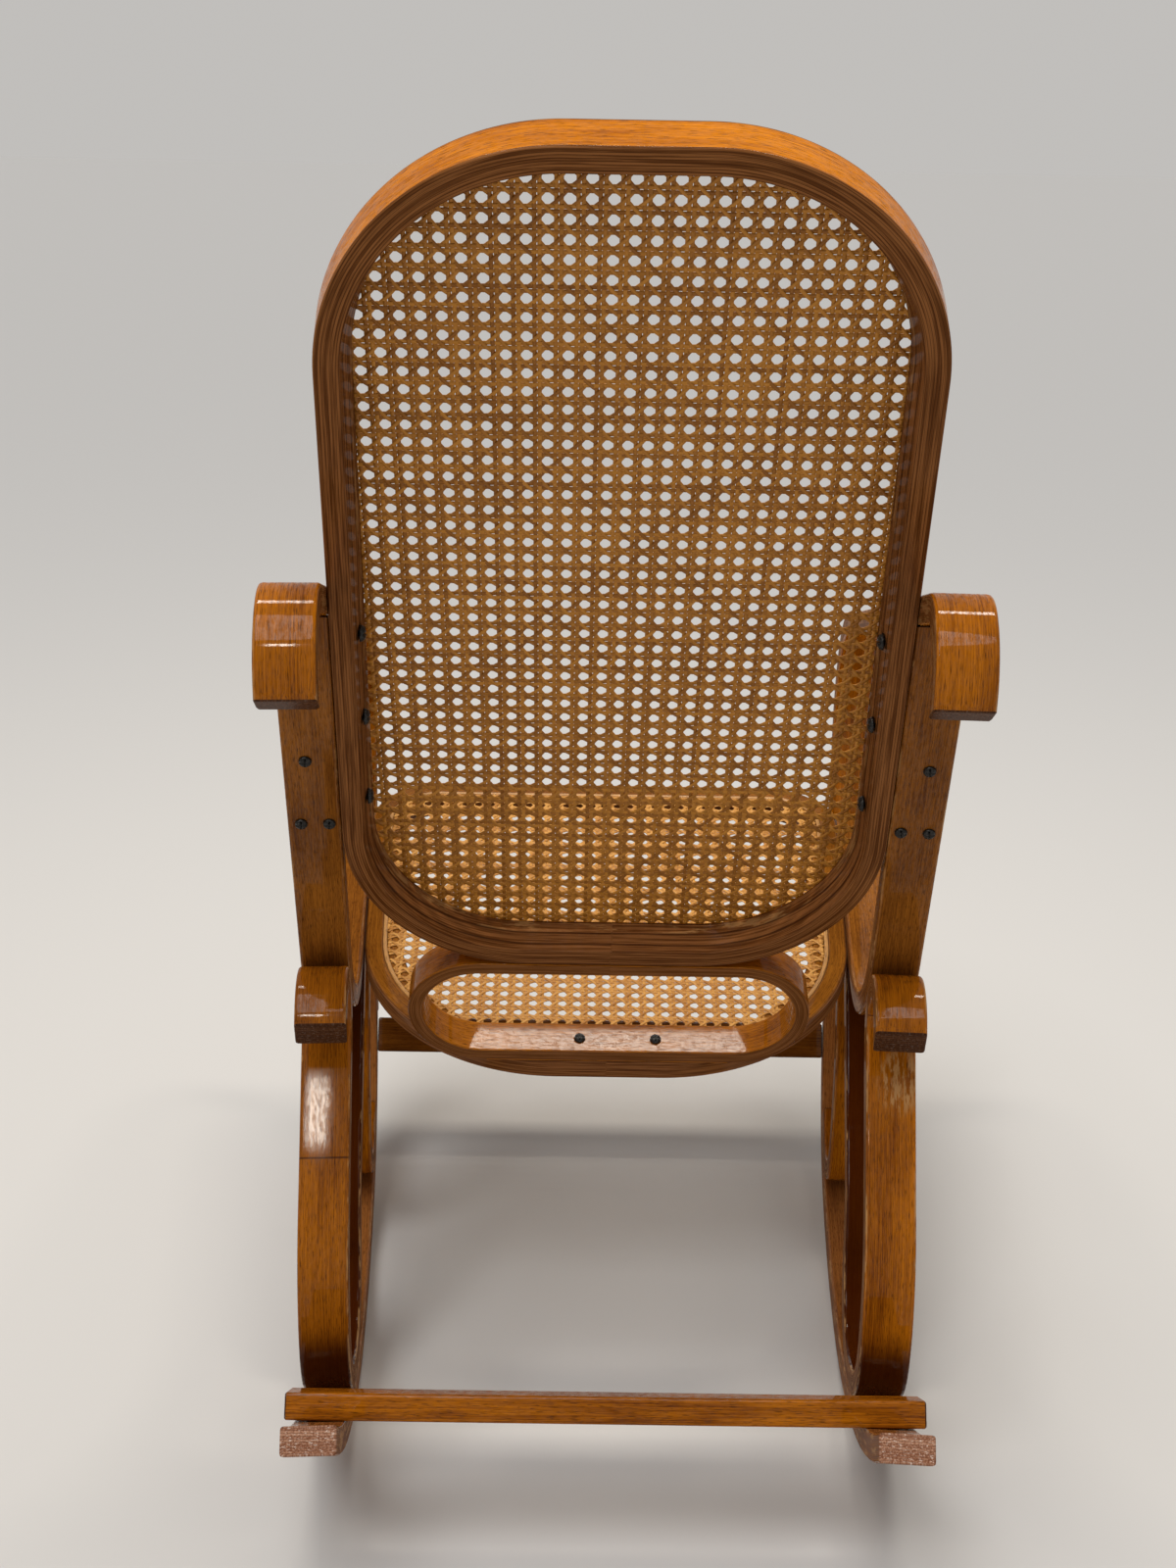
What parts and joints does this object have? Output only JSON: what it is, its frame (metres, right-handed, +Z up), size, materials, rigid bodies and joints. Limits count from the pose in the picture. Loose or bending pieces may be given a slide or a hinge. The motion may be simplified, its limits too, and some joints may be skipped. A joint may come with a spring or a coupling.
{
  "type": "rocking chair",
  "caption": "Bentwood rocking chair with scrolled ribbon side frames on curved runners, a tall reclined hoop back and a sloping seat, both filled with woven cane.",
  "frame": {"origin": "on the floor, at the centre of the bottom of the bounding box, between the two runners", "axes": "+Z up, +Y the way the sitter faces, +X to the sitter's right"},
  "size_m": [0.5592, 0.837, 1.0287],
  "materials": {
    "bent_wood": "glossy lacquered veneer, lengthwise grain",
    "hoop_wood": "glossy lacquered laminate",
    "cane": "lacquered woven cane",
    "spline": "lacquered round reed",
    "screw": "black, slightly glossy"
  },
  "bodies": {
    "root": {"left_arm": "bent_wood", "left_side_rail": "bent_wood", "left_lower_scroll": "bent_wood", "left_runner": "bent_wood", "left_front_brace": "bent_wood", "left_arm_brace": "bent_wood", "right_arm": "bent_wood", "right_side_rail": "bent_wood", "right_lower_scroll": "bent_wood", "right_runner": "bent_wood", "right_front_brace": "bent_wood", "right_arm_brace": "bent_wood", "rear_stretcher": "bent_wood", "front_stretcher": "bent_wood", "back_frame": "hoop_wood", "back_cane": "cane", "back_cane_spline": "spline", "seat_frame": "hoop_wood", "seat_cane": "cane", "seat_cane_spline": "spline", "back_spacer": "bent_wood"}
  },
  "joints": []
}
